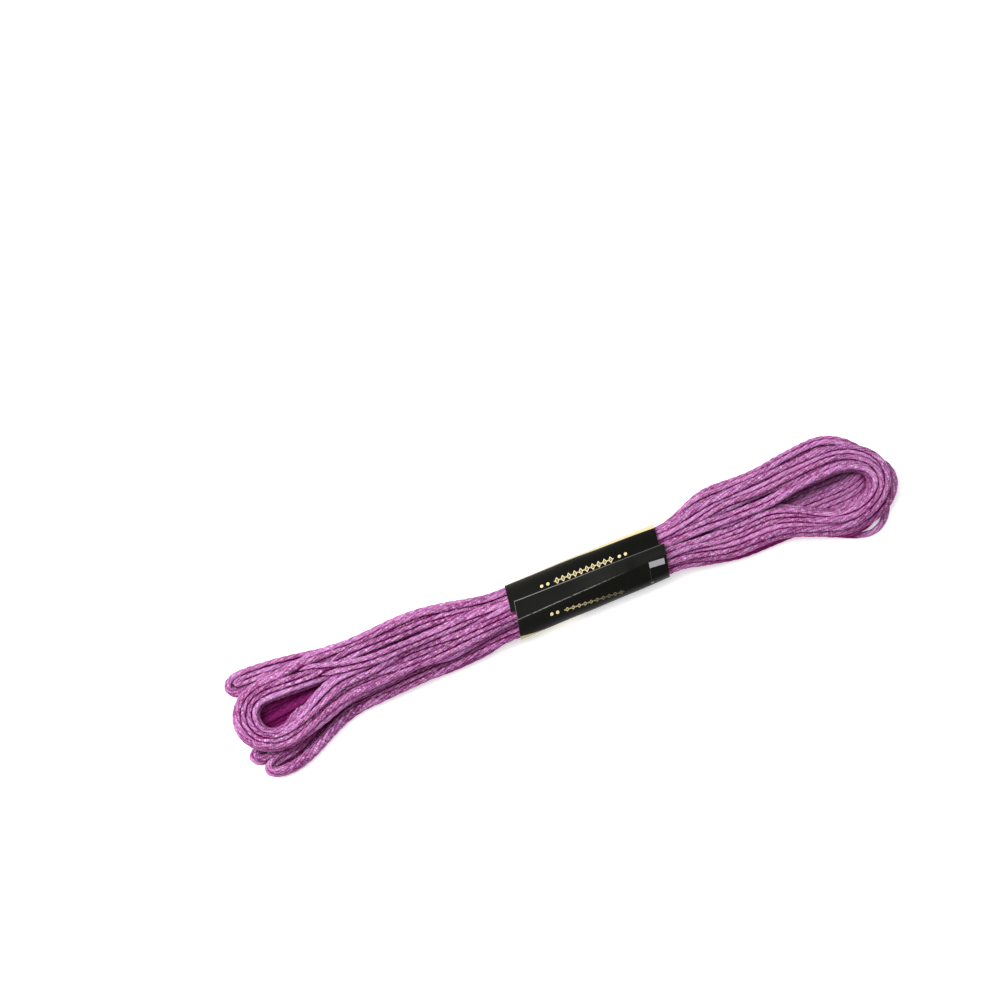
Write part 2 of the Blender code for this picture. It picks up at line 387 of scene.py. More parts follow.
@dataclass
class Winding:
    """The route of the whole yarn: eight turns, settled so that its runs lie on each other."""

    waist: Waist
    loops: dict[str, Loop]
    shares: dict[str, tuple[str, ...]]
    turns: int = 8
    spacing: float = 1.06
    wide: float = 1.1
    squash: float = 1.13
    cling: float = 0.1
    cling_reach: float = 1.5
    step: float = 1.1
    slack: float = 0.3
    slot_reach: float = 0.34
    low_haste: float = 0.7
    inside: float = 5.0
    level_reach: float = 0.8
    search_reach: float = 1.8
    search_every: int = 6
    search_apart: int = 5
    fade: float = 0.99
    push_share: float = 0.95
    crowd_power: float = 0.8
    stages: tuple[tuple[int, int], ...] = ((33, 60), (17, 60), (9, 60), (5, 60))
    seed: int = 11
    points: Array = field(init=False)
    clings: Array = field(init=False)
    painted_shades: Array = field(init=False)
    spans: list[tuple[str, int, int]] = field(init=False)

    def __post_init__(self) -> None:
        """Lays the yarn out and settles it."""
        self._lay_out()
        self._settle()

    def _lay_out(self) -> None:
        """Chains the loops of every turn into one route through the band."""
        rng = np.random.default_rng(self.seed)
        ready: dict[str, list[Array]] = {}
        for group, members in self.shares.items():
            laid = [self.loops[name].paths(self.waist, self.spacing / 2, rng) for name in members]
            ready[group] = list(itertools.chain(*laid))
        for side in Side:
            mine = [path for group in ready if self._side(group) is side for path in ready[group]]
            self._fit_to_band(mine, side)
        mixed = {group: [paths[k] for k in rng.permutation(len(paths))] for group, paths in ready.items()}
        pieces: list[Array] = []
        self.spans = []
        total = 0
        for k in range(self.turns):
            for group, number, way in (
                ("left_end", k, Way.BY_UPPER),
                ("right_fold", k, Way.BY_LOWER),
                ("left_fold", k, Way.BY_UPPER),
                ("right_end", k, Way.BY_UPPER),
                ("left_fold", self.turns + k, Way.BY_LOWER),
                ("right_fold", self.turns + k, Way.BY_UPPER),
            ):
                path = self._evenly(mixed[group][number][:: way.value])
                if pieces:
                    pieces.append(self._passage(pieces[-1][-1], path[0]))
                    total += len(pieces[-1])
                pieces.append(path)
                self.spans.append((group, total, total + len(path)))
                total += len(path)
        route = np.concatenate(pieces)
        self.points, self.clings, self.painted_shades = route[:, :3], self.cling * route[:, 3], route[:, 4]

    def _side(self, group: str) -> Side:
        """Returns the side that a group of loops lies at."""
        return self.loops[self.shares[group][0]].side

    def _fit_to_band(self, paths: list[Array], side: Side) -> None:
        """Gives every run its own place where it leaves the band.

        Args:
            paths: All loops of one side, which are changed in place.
            side: That side.
        """
        wanted = np.concatenate([[path[0, 1:3], path[-1, 1:3]] for path in paths])
        slots = self.waist.packed(wanted, self.spacing, self.slack - self.spacing / 2)
        mouth = self.waist.mouth(side)
        for k, path in enumerate(paths):
            first = np.arange(len(path)) < len(path) / 2
            beyond = np.abs(path[:, 0] - mouth)
            for half, end, slot in ((first, 0, slots[2 * k]), (~first, -1, slots[2 * k + 1])):
                reach = self.slot_reach * beyond.max() * (1 - self.low_haste * self.waist.lowness(slot[1]))
                near = 1 - smooth(beyond / reach)
                path[half, 1:3] += (slot - path[end, 1:3].copy()) * near[half, None]

    def _evenly(self, path: Array) -> Array:
        """Spaces a path's points evenly.

        Args:
            path: Points along a route, in their first three columns.

        Returns:
            New points on the same route, a step apart.
        """
        run = travelled(path[:, :3])
        at = np.linspace(0.0, run[-1], max(2, round(run[-1] / self.step)))
        return np.column_stack([np.interp(at, run, column) for column in path.T])

    def _passage(self, start: Array, end: Array) -> Array:
        """Takes the yarn through the band.

        Args:
            start: Where it goes in.
            end: Where it comes out.

        Returns:
            The points between the two, without them.
        """
        reach = abs(end[0] - start[0])
        steps = round(reach / self.step)
        share = np.arange(1, steps)[:, None] / steps
        path = blend(start, end, share)
        away = self.inside / reach
        path[:, 1:] = blend(start[1:], end[1:], smooth((share - away) / (1 - 2 * away)))
        return path

    def _settle(self) -> None:
        """Pushes the runs apart where they overlap, first over long stretches, then over short."""
        target = self.points
        moved = np.zeros_like(target)
        for width, rounds in self.stages:
            for turn in range(rounds):
                points = target + moved
                if turn % self.search_every == 0:
                    a, b = near_pairs(points, self.search_reach * self.spacing, self.search_apart)
                shove, deep = self._shoves(points, a, b)
                moved = self._steadied(moved * self.fade + shove, width)
                moved = self._held(target + moved) - target
        self.points = target + moved
        LOG.info("settled: %.2f mm deepest press, %.3f mm mean", deep.max(), deep.mean())

    def _shoves(self, points: Array, a: Array, b: Array) -> tuple[Array, Array]:
        """Works out how far each point is pushed, or drawn in, by its neighbours.

        Args:
            points: All points of the yarn.
            a: One point of each near pair.
            b: The other.

        Returns:
            The move of each point, and how far each pair overlaps.
        """
        count = len(points)
        tangent = unit(np.gradient(points, axis=0))
        gap = points[b] - points[a]
        sign = np.sign(np.sum(tangent[a] * tangent[b], axis=1, keepdims=True))
        along = unit(tangent[a] + sign * tangent[b])
        run = np.sum(gap * along, axis=1, keepdims=True)
        push = (gap - run * along) * np.array([1.0, 1.0, self.squash])
        away = norms(push)
        level = np.abs(run[:, 0]) < self.level_reach * self.step
        deep = np.where(level, np.maximum(self.wide - away, 0.0), 0.0)
        near = np.where(level & (deep <= 0), np.maximum(self.cling_reach * self.wide - away, 0.0), 0.0)
        drawn = self.clings[a] * self.clings[b] / self.cling * np.minimum(near, 0.5 * self.wide - near)
        push *= (deep / np.maximum(away, 1e-6))[:, None]
        pull = (gap - run * along) * (drawn / np.maximum(away, 1e-6))[:, None]
        hit = deep > 0
        shove = gathered(b[hit], push[hit], count) - gathered(a[hit], push[hit], count)
        hits = 1.0 + np.bincount(b[hit], None, count) + np.bincount(a[hit], None, count)
        shove *= self.push_share / hits[:, None] ** self.crowd_power
        return shove - gathered(b, pull, count) + gathered(a, pull, count), deep

    @staticmethod
    def _steadied(moved: Array, width: int) -> Array:
        """Averages the moves along the yarn, because it doesn't bend sharply.

        Args:
            moved: The move of each point.
            width: The number of points in an average.

        Returns:
            The averaged moves.
        """
        half = width // 2
        for _ in range(2):
            padded = np.vstack([np.repeat(moved[:1], half + 1, 0), moved, np.repeat(moved[-1:], half, 0)])
            total = np.cumsum(padded, 0)
            moved = (total[width:] - total[:-width]) / width
        return moved

    def _held(self, points: Array) -> Array:
        """Keeps the yarn inside the band, and above the surface that the skein lies on.

        Args:
            points: All points of the yarn.

        Returns:
            The points, moved in where they stood out.
        """
        waist = self.waist
        beyond = np.maximum(waist.mouth_left + 1 - points[:, 0], points[:, 0] - waist.mouth_right + 1)
        sagging = waist.sag * smooth(beyond / waist.sag_reach) * waist.lowness(points[:, 2])
        grown = waist.flare * np.maximum(beyond, 0.0) + sagging + self.slack - self.spacing / 2
        y, z = waist.hold(points[:, 1], points[:, 2], grown)
        return np.stack([points[:, 0], y, np.maximum(z, self.spacing / 2)], 1)

    def loops_of(self, group: str) -> list[Array]:
        """Cuts the route into the loops of one group.

        Args:
            group: The group.

        Returns:
            The points of each loop, with the shade painted on them as a fourth column. It ends in the
            middle of the band, where the next one starts.
        """
        starts = [start for _, start, _ in self.spans] + [len(self.points)]
        stops = [0] + [stop for _, _, stop in self.spans]
        cuts = [(stop + start) // 2 for stop, start in zip(stops, starts)]
        cuts[-1] = len(self.points) - 1
        route = np.column_stack([self.points, self.painted_shades])
        names = [name for name, _, _ in self.spans]
        return [route[cuts[k] : cuts[k + 1] + 1] for k, name in enumerate(names) if name == group]


def maths(operation: str, swapped: bool = False) -> Callable[..., Socket]:
    """Makes a method of Socket that adds one Math node.

    Args:
        operation: The node's operation.
        swapped: Whether the other value comes first.

    Returns:
        The method, which takes the node's other value if it has one.
    """

    def method(self: Socket, *others: Socket | float) -> Socket:
        """Returns the result of the operation."""
        values = (*others, self) if swapped else (self, *others)
        return self.tree.node("ShaderNodeMath", {"operation": operation}, dict(enumerate(values)))

    return method


@dataclass(eq=False)
class Socket:
    """A value in a material, which adds its Math nodes as expressions are written."""

    tree: Tree
    link: NodeSocket

    __add__ = __radd__ = maths("ADD")
    __sub__ = maths("SUBTRACT")
    __rsub__ = maths("SUBTRACT", swapped=True)
    __mul__ = __rmul__ = maths("MULTIPLY")
    __truediv__ = maths("DIVIDE")
    __lt__ = maths("LESS_THAN")
    __gt__ = maths("GREATER_THAN")
    __abs__ = maths("ABSOLUTE")
    sine = maths("SINE")
    fraction = maths("FRACT")
    whole = maths("FLOOR")
    largest = maths("MAXIMUM")
    angle_with = maths("ARCTAN2")

    def between(self, low: float, high: float) -> Socket:
        """Returns 1 between two values, else 0."""
        return (self > low) * (self < high)

    def ramp(self, low: float, high: float) -> Socket:
        """Returns a share that eases from 0 at the low value to 1 at the high one."""
        inputs = {"Value": self, "From Min": low, "From Max": high}
        return self.tree.node("ShaderNodeMapRange", {"interpolation_type": "SMOOTHSTEP"}, inputs)


class Tree:
    """A new material's nodes, with its Principled shader."""

    def __init__(self, name: str) -> None:
        """Starts an empty material.

        Args:
            name: The material's name.
        """
        self.material = bpy.data.materials.new(name)
        self.material.use_nodes = True
        self.nodes = self.material.node_tree.nodes
        self.shader = self.nodes["Principled BSDF"]

    def node(
        self, kind: str, settings: dict | None = None, inputs: dict | None = None, output: str | int = 0
    ) -> Socket:
        """Adds any node.

        Args:
            kind: The node's type.
            settings: Its own settings, set first.
            inputs: The value or link of each socket that is named or numbered.
            output: The output to wrap.

        Returns:
            That output.
        """
        made = self.nodes.new(kind)
        for name, value in (settings or {}).items():
            setattr(made, name, value)
        for name, value in (inputs or {}).items():
            self.feed(made.inputs[name], value)
        return Socket(self, made.outputs[output])

    def feed(self, socket: NodeSocket, value: object) -> None:
        """Sets or links one input.

        Args:
            socket: The input.
            value: A number, a colour or a wrapped output.
        """
        if isinstance(value, Socket):
            self.material.node_tree.links.new(value.link, socket)
        elif isinstance(value, tuple) and len(value) == 3 and len(socket.default_value) == 4:
            socket.default_value = (*value, 1.0)
        else:
            socket.default_value = value

    def set(self, **inputs: object) -> None:
        """Feeds the Principled shader's sockets, named with _ for each space."""
        for name, value in inputs.items():
            self.feed(self.shader.inputs[name.replace("_", " ")], value)

    def mix(self, share: Socket, start: object, end: object) -> Socket:
        """Mixes two colours.

        Args:
            share: How much of the end colour.
            start: A colour or a link.
            end: A colour or a link.

        Returns:
            The mixed colour.
        """
        factor, first, second, result = 0, 6, 7, 2  # the node's sockets for colours
        inputs = {factor: share, first: start, second: end}
        return self.node("ShaderNodeMix", {"data_type": "RGBA"}, inputs, result)

    def attribute(self, name: str) -> list[Socket]:
        """Returns the three numbers of a mesh's own vector attribute."""
        vector = self.node("ShaderNodeAttribute", {"attribute_name": name}, output="Vector")
        split = self.node("ShaderNodeSeparateXYZ", None, {0: vector})
        return [Socket(self, output) for output in split.link.node.outputs]

    def _place(self, numbers: tuple[Socket | float, ...]) -> Socket:
        """Returns the vector of three numbers."""
        return self.node("ShaderNodeCombineXYZ", None, dict(enumerate(numbers)))

    def noise(self, *numbers: Socket | float, scale: float = 1.0, detail: float = 2.0) -> Socket:
        """Returns a noise around 0.5 over three numbers, with finer layers as its detail says."""
        inputs = {"Vector": self._place(numbers), "Scale": scale, "Detail": detail}
        return self.node("ShaderNodeTexNoise", None, inputs)

    def chance(self, *numbers: Socket | float) -> Socket:
        """Returns a number from 0 to 1 that is drawn anew for each three numbers."""
        inputs = {"Vector": self._place(numbers)}
        return self.node("ShaderNodeTexWhiteNoise", {"noise_dimensions": "3D"}, inputs)

    def bump(self, height: Socket, distance: float, strength: float = 1.0) -> Socket:
        """Returns the normal of a height, given as a share of a distance in metres."""
        inputs = {"Height": height, "Distance": distance, "Strength": strength}
        return self.node("ShaderNodeBump", None, inputs)


@dataclass(frozen=True)
class Cotton:
    """Mercerised six-strand cotton: glossy, each strand with its own two tightly twisted plies."""

    name: str = "orchid_cotton"
    lit: Colour = (0.62, 0.258, 0.538)
    lilac: Colour = (0.575, 0.28, 0.6)
    # Painted shade colours: the first for the furrows between runs, the second for yarn that lies deep
    # inside.
    deep: Colour = (0.135, 0.002, 0.072)
    buried_shade_colour: Colour = (0.24, 0.033, 0.155)
    # Painted highlight colour, put on the glint spots of the plies.
    pale: Colour = (0.95, 0.75, 0.93)
    ply_pitch: float = 1.0
    strands: int = 6
    relief: float = 0.00014
    glow_depth: float = 0.0006
    glow_tint: Colour = (1.0, 0.15, 0.7)

    def material(self) -> Material:
        """Builds the finish, which reads the yarn's own lengths, angles and tones.

        Returns:
            The material.
        """
        tree = Tree(self.name)
        along, tone, nook = tree.attribute("yarn")
        cosine, sine, buried_shade = tree.attribute("girth")

        # Each strand is a ridge along the yarn, and its plies twist round it.
        around = sine.angle_with(cosine) * (self.strands / (2 * math.pi)) + 0.5
        strand = around.whole()
        offset = abs(around.fraction() - 0.5) * 2
        crest = 1 - offset * offset
        uneven = tree.noise(along * 0.7, cosine * 1.2, sine * 1.2 + tone * 30, detail=1.0)
        turn = along * (2 / self.ply_pitch) + around * 0.9 + uneven * 2.4
        ply = abs(((turn.fraction() - 0.5) * math.pi).sine()) * -1 + 1

        # Chance and noise, from single plies up to whole stretches of yarn
        glint = tree.chance(turn.whole(), strand, tone)
        thread = tree.chance(strand, tone, 3.0)
        fibre = tree.noise(along * 1.8, cosine * 2.6, sine * 2.6 + tone * 60, scale=2.0, detail=3.0)
        patch = tree.noise(along * 0.11, cosine * 0.4, sine * 0.4 + tone * 2.0)
        parting = tree.noise(along * 0.13, cosine * 0.9, sine * 0.9 + tone * 9.0, detail=1.0)
        parted = parting.ramp(0.37, 0.55) * 0.9 + 0.1
        lively = patch.ramp(0.36, 0.62)
        glint_spots = glint.ramp(0.5, 1.0) * (ply * crest).ramp(0.25, 0.8) * (lively * 0.8 + 0.2)

        # Painted shade: the furrows between two runs, and yarn that lies deep inside, are darkened in the
        # colour.
        line = nook.ramp(0.55, 0.95) * parted
        shade_mix = (nook.ramp(0.1, 0.8) * (parted * 0.45 + 0.35)).largest(buried_shade)
        # Painted shade and highlight: the tops of the strands and plies are lighter, the furrows darker, and
        # each ply gets a random glint; fibre, tone, thread and patch are the yarn's own uneven tone.
        shade = crest * 0.24 + ply * crest * 0.38 + (glint - 0.5) * 0.5
        shade = shade + (fibre - 0.5) * 0.95 + (tone - 0.5) * 0.28
        shade = shade + (thread - 0.5) * 0.25 + (patch - 0.5) * 0.5 - line * 1.15 + 0.41
        # Painted shade for yarn that lies deep inside: its tone evens out and darkens.
        shade = shade + (shade * -1 + 0.46) * buried_shade * 0.5 - buried_shade.ramp(0.85, 1.25) * 0.22

        cast = tree.noise(along * 0.04, tone * 7.0, thread * 1.5, detail=1.0).ramp(0.42, 0.66) * 0.7
        full = tree.mix(shade_mix, tree.mix(cast, self.lit, self.lilac), self.buried_shade_colour)
        body = tree.mix(shade.ramp(0.0, 1.0), self.deep, full)
        # Painted highlight: the glint spots of the plies are turned pale in the colour, and also get gloss.
        colour = tree.mix(glint_spots * (1 - shade_mix * 0.85) * 0.9, body, self.pale)
        height = crest * 0.7 + ply * crest * 0.9 + fibre * 0.3
        tree.set(
            Base_Color=colour,
            Roughness=0.6 - glint_spots * 0.3,
            Coat_Weight=glint_spots * (1 - shade_mix) * 0.35,
            Coat_Roughness=0.3,
            Normal=tree.bump(height, self.relief),
            Specular_IOR_Level=0.0,
            Subsurface_Weight=0.3,
            Subsurface_Radius=self.glow_tint,
            Subsurface_Scale=self.glow_depth,
        )
        return tree.material


@dataclass(frozen=True)
class Paper:
    """Coated black paper with pale gold print and a grey-white core that shows where it is cut."""

    name: str = "black_paper"
    black: Colour = (0.003, 0.003, 0.0018)
    crease_sheen_and_lines: Colour = (0.24, 0.24, 0.22)
    core: Colour = (0.36, 0.36, 0.34)
    gold: Colour = (0.74, 0.62, 0.34)
    label: Colour = (0.29, 0.28, 0.29)
    relief: float = 0.00003
    motif_pitch: float = 1.45
    motif_half_length: float = 0.56
    bead_area: float = 0.022
    dot_area: float = 0.15

    def material(self) -> Material:
        """Builds the finish, which reads where each point lies on the flat sheet.

        Returns:
            The material.
        """
        tree = Tree(self.name)
        x, s, layer = tree.attribute("print")
        rim, inside, edge = tree.attribute("sheet")
        gold = self._sleeve_print(x, s) * (1 - layer) + self._flap_print(x, s) * layer
        label = x.between(20.6, 24.3) * (s - x * 0.1).between(0.66, 1.95) * layer
        scuff = tree.noise(x * 0.9, s * 2.4, layer * 7, scale=1.3, detail=4.0)
        speck = tree.noise(x, s, layer * 7, scale=6.0)

        # Pale lines on the flap: a painted highlight along its crease, broken up by scuffs, a thin printed
        # rule, and its free edges
        # Painted highlight along the flap's crease, fading towards the right and broken up by scuffs.
        crease = (1 - abs(s - self._crease(x)).ramp(0.02, 0.16)) * layer
        crease = crease * (1 - x.ramp(4.0, 17.0)) * scuff.ramp(0.3, 0.6)
        rule = (abs(x - 20.6) < 0.07) * s.between(4.1, 7.4) * 0.12
        rule = rule + (abs(x - 20.75) < 0.3) * s.between(7.4, 7.75)
        margin = edge.between(0.02, 0.17) * (1 - x.ramp(-6.0, 24.0) * 0.7)
        margin = margin.largest(x.between(-12.0, -11.6) * (s < 3.0))
        rubbed = scuff.ramp(0.2, 0.5) * 0.5 + 0.5
        crease_sheen_and_lines = (crease * 0.9).largest(rule * layer * 0.8).largest(margin * layer * rubbed)

        body = tree.mix(crease_sheen_and_lines, self.black, self.crease_sheen_and_lines)
        body = tree.mix(gold * (speck.ramp(0.2, 0.5) * 0.25 + 0.75), body, self.gold)
        body = tree.mix(label, body, self.label)
        body = tree.mix(rim.largest(inside), body, self.core)
        facet = (s < self._crease(x)) * layer * (1 - rim.largest(inside))
        tree.set(
            Base_Color=body,
            Roughness=0.5 - x.ramp(-12.0, 16.0) * 0.3 + scuff * 0.1 + rim.largest(inside) * 0.3,
            Coat_Weight=facet * x.ramp(-3.0, 12.0) * (1 - x.ramp(13.0, 22.0) * 0.4) * 0.2,
            Coat_Roughness=0.34,
            Normal=tree.bump(scuff * 0.7 + speck * 0.3, self.relief, 0.5),
            Specular_IOR_Level=0.125,
        )
        return tree.material

    @staticmethod
    def _crease(x: Socket) -> Socket:
        """Returns where the fold of the flap lies, at each place along the band."""
        return 3.06 - x * 0.019

    def _ornament(self, x: Socket, q: Socket, start: float, end: float, tall: float) -> Socket:
        """Draws a border of small open lozenges with a bead between each two.

        Args:
            x: How far along the band.
            q: How far off the border's middle line.
            start: Where the border starts.
            end: Where it ends.
            tall: Half its height.

        Returns:
            1 where it is printed.
        """
        cell = (((x - start) / self.motif_pitch).fraction() - 0.5) * self.motif_pitch
        lozenge = abs(cell) / self.motif_half_length + abs(q) / tall
        open_part = lozenge.between(0.56, 1.0).largest(lozenge < 0.2)
        side = abs(cell) - self.motif_pitch / 2
        bead = (side * side + q * q) < self.bead_area
        return open_part.largest(bead) * x.between(start, end)

    def _dotted(self, drawn: Socket, x: Socket, q: Socket, centres: tuple[float, ...]) -> Socket:
        """Adds a row of round dots.

        Args:
            drawn: What is printed already.
            x: How far along the band.
            q: How far off the row's middle line.
            centres: Where the dots' middles lie.

        Returns:
            1 where it is printed.
        """
        for centre in centres:
            off = x - centre
            drawn = drawn.largest((off * off + q * q) < self.dot_area)
        return drawn

    def _sleeve_print(self, x: Socket, s: Socket) -> Socket:
        """Draws what is printed on the part of the sheet that goes round first.

        Args:
            x: How far along the band.
            s: How far round it.

        Returns:
            1 where it is printed.
        """
        bulge = x.largest(0.0) * x.largest(0.0) * 0.0012
        stripe = (s - x * 0.03 - bulge).between(-8.6, -6.26) * (x.ramp(-14.0, 20.0) * 0.35 + 0.5)
        q = s - x * 0.03 + 1.74
        drawn = stripe.largest(self._ornament(x, q, -1.7, 12.8, 0.85))
        return self._dotted(drawn, x, q, (-4.7, -3.2, 14.2, 15.7))

    def _flap_print(self, x: Socket, s: Socket) -> Socket:
        """Draws what is printed on the flap that lies over it.

        Args:
            x: How far along the band.
            s: How far round it.

        Returns:
            1 where it is printed.
        """
        stripe = (s - x * 0.2).between(9.55, 12.0) * (x < 3.0) * 0.6
        q = s - x * 0.1 - 5.44
        # Painted shade: the ornament on the flap fades towards the right, where the flap turns away from the
        # light.
        shaded_ornament = self._ornament(x, q, -0.6, 13.9, 0.5) * (0.8 - x.ramp(1.0, 10.0) * 0.6)
        return self._dotted(stripe.largest(shaded_ornament), x, q, (-3.6, -2.2))


@dataclass(frozen=True)
class Floor:
    """The plain white surface that the skein lies on, lit faintly from below like a light table."""

    name: str = "white_table"
    colour: Colour = (0.93, 0.93, 0.93)
    light: Colour = (1.0, 1.0, 1.0)
    glow: float = 0.42

    def material(self) -> Material:
        """Returns the finish."""
        tree = Tree(self.name)
        tree.set(Base_Color=self.colour, Roughness=0.8, Specular_IOR_Level=0.2)
        tree.set(Emission_Color=self.light, Emission_Strength=self.glow)
        return tree.material


def add_object(name: str, data: ID) -> Object:
    """Returns a new object in the scene, which shows a mesh, a lamp or a camera."""
    made = bpy.data.objects.new(name, data)
    bpy.context.scene.collection.objects.link(made)
    return made


def add_mesh(
    name: str,
    points: Array,
    faces: Array,
    finish: Material,
    attributes: dict[str, Array] | None = None,
    chart: Array | None = None,
) -> Object:
    """Adds a smooth mesh object.

    Args:
        name: The piece's name.
        points: Its corners, in millimetres.
        faces: Its four-cornered faces, as rows of corner numbers.
        finish: Its material.
        attributes: Vectors by name, a row for each corner.
        chart: Where each corner of each face lies on the flat map of the surface.

    Returns:
        The object.
    """
    mesh = bpy.data.meshes.new(name)
    mesh.from_pydata((points * MM).tolist(), [], faces.tolist())
    mesh.shade_smooth()
    mesh.materials.append(finish)
    for key, rows in (attributes or {}).items():
        made = mesh.attributes.new(key, "FLOAT_VECTOR", "POINT")
        made.data.foreach_set("vector", rows.astype(np.float32).ravel())
    if chart is not None:
        layer = mesh.uv_layers.new(name="OFBake")
        layer.uv.foreach_set("vector", chart.astype(np.float32).ravel())
    return add_object(name, mesh)


@dataclass
class Strand:
    """One loop of yarn, ready to be swept: its middle line and its own cross directions."""

    centre: Array
    run: Array
    side: Array
    up: Array
    # depth is the share of painted shade, from the yarn lying over each point and the loop's own painted
    # shade.
    depth: Array
    start: int = 0


@dataclass
class Yarn:
    """The yarn's surface: six loosely twisted strands that give way where two runs touch."""

    winding: Winding
    finish: Cotton
    radius: float = 0.62
    strands: int = 6
    strand_points: int = 3
    groove: float = 0.22
    twist_pitch: float = 14.0
    twist_drift: float = 0.8
    swell: float = 0.06
    ripple: float = 0.04
    flatness: float = 0.3
    flat_drift: float = 0.6
    thinning: float = 0.7
    wave_lengths: tuple[float, ...] = (11.0, 7.0, 2.9, 13.0, 14.0)
    square: float = 2.7
    roll: float = 0.3
    nook_reach: float = 0.36
    touch_reach: float = 2.2
    touch_apart: int = 8
    touch_level: float = 0.55
    seam: float = 0.012
    lift: float = 0.02
    spacing: float = 0.75
    turn_spacing: float = 0.5
    hidden_spacing: float = 2.5
    hidden_margin: float = 4.0
    turn_bend: float = 0.06
    cover_reach: float = 4.6
    cover_full: float = 4.4
    cover_from: float = 0.12
    seed: int = 5

    def build(self) -> list[Object]:
        """Makes one piece for each group of loops.

        Returns:
            The pieces.
        """
        rng = np.random.default_rng(self.seed)
        winding = self.winding
        groups = {name: [self._strand(route) for route in winding.loops_of(name)] for name in winding.shares}
        everything = [strand for strands in groups.values() for strand in strands]
        total = 0
        for strand in everything:
            strand.start = total
            total += len(strand.centre)
        rings = np.concatenate([self._rings(strand, rng) for strand in everything])
        nooks = self._pressed(everything, rings)
        for strand, depth in zip(everything, self._painted_cover(everything)):
            strand.depth = np.maximum(strand.depth, depth)
        material = self.finish.material()
        return [self._piece("yarn_" + group, groups[group], rings, nooks, material, rng) for group in groups]

    @property
    def angles(self) -> Array:
        """Returns the angles of the points round the yarn."""
        around = self.strands * self.strand_points
        return np.arange(around) / around * 2 * math.pi

    def _strand(self, route: Array) -> Strand:
        """Reads a smooth curve through a route, with closer points where it bends.

        Args:
            route: The settled points, and how dim it is at each.

        Returns:
            The curve with its cross directions.
        """
        route, painted_shades = route[:, :3].copy(), route[:, 3]
        for _ in range(2):
            route[1:-1] = 0.5 * route[1:-1] + 0.25 * (route[:-2] + route[2:])
        before = np.vstack([2 * route[0] - route[1], route, 2 * route[-1] - route[-2]])
        a, b, c, d = before[:-3], before[1:-2], before[2:-1], before[3:]
        fine = []
        for share in np.linspace(0.0, 1.0, 6, endpoint=False):
            bend = (2 * a - 5 * b + 4 * c - d) * share**2 + (3 * b - a - 3 * c + d) * share**3
            fine.append(0.5 * (2 * b + (c - a) * share + bend))
        dense = np.vstack([np.stack(fine, 1).reshape(-1, 3), route[-1]])
        pieces = np.diff(dense, axis=0)
        lengths = norms(pieces)
        run = travelled(dense)
        bend = norms(np.diff(pieces / lengths[:, None], axis=0)) / lengths[1:]
        bend = np.convolve(np.concatenate([[0.0], bend, [0.0]]), np.ones(9) / 9, "same")
        waist = self.winding.waist
        left, right = waist.mouth_left + self.hidden_margin, waist.mouth_right - self.hidden_margin
        hidden = (dense[:, 0] > left) & (dense[:, 0] < right)
        wanted = np.where(bend > self.turn_bend, self.turn_spacing, self.spacing)
        wanted = np.where(hidden, self.hidden_spacing, wanted)
        count = np.concatenate([[0.0], np.cumsum(lengths / wanted[1:])])
        at = np.interp(np.linspace(0, count[-1], round(count[-1]) + 1), count, run)
        centre = np.column_stack([np.interp(at, run, dense[:, i]) for i in range(3)])
        heading = unit(np.gradient(centre, axis=0))
        side = unit(np.cross(heading, np.array([0.0, 0.0, 1.0])))
        depth = np.interp(at / at[-1], np.linspace(0, 1, len(painted_shades)), painted_shades)
        return Strand(centre, at, side, np.cross(side, heading), depth)

    def _rings(self, strand: Strand, rng: np.random.Generator) -> Array:
        """Draws the section of the yarn at each point of a loop.

        Args:
            strand: The loop.
            rng: The source of its own twist and uneven width.

        Returns:
            The corners of each ring, as offsets from the middle line.
        """
        angle, run = self.angles, strand.run
        phase, *starts = rng.uniform(0, 2 * math.pi, 6)
        begins = (starts[0], starts[1], starts[2], starts[0], starts[3])
        drift, swell, ripple, flat, roll = (np.sin(run / w + b) for w, b in zip(self.wave_lengths, begins))
        twist = run * (2 * math.pi / self.twist_pitch) + self.twist_drift * drift
        turned = angle[None, :] + phase + twist[:, None]
        lobe = 1 - self.groove * (0.5 - 0.5 * np.cos(self.strands * angle))
        swell = 1 + self.swell * swell + self.ripple * ripple
        flat = self.flatness * (1 + self.flat_drift * flat)
        cosine, sine = np.cos(turned), np.sin(turned)
        box = (np.abs(cosine) ** self.square + np.abs(sine) ** self.square) ** (-1 / self.square)
        wide = (self.radius * swell * (1 + flat))[:, None] * lobe * box * cosine
        high = (self.radius * swell * (1 - self.thinning * flat))[:, None] * lobe * box * sine
        roll = self.roll * roll[:, None]
        side = wide * np.cos(roll) - high * np.sin(roll)
        up = wide * np.sin(roll) + high * np.cos(roll)
        return strand.side[:, None, :] * side[..., None] + strand.up[:, None, :] * up[..., None]

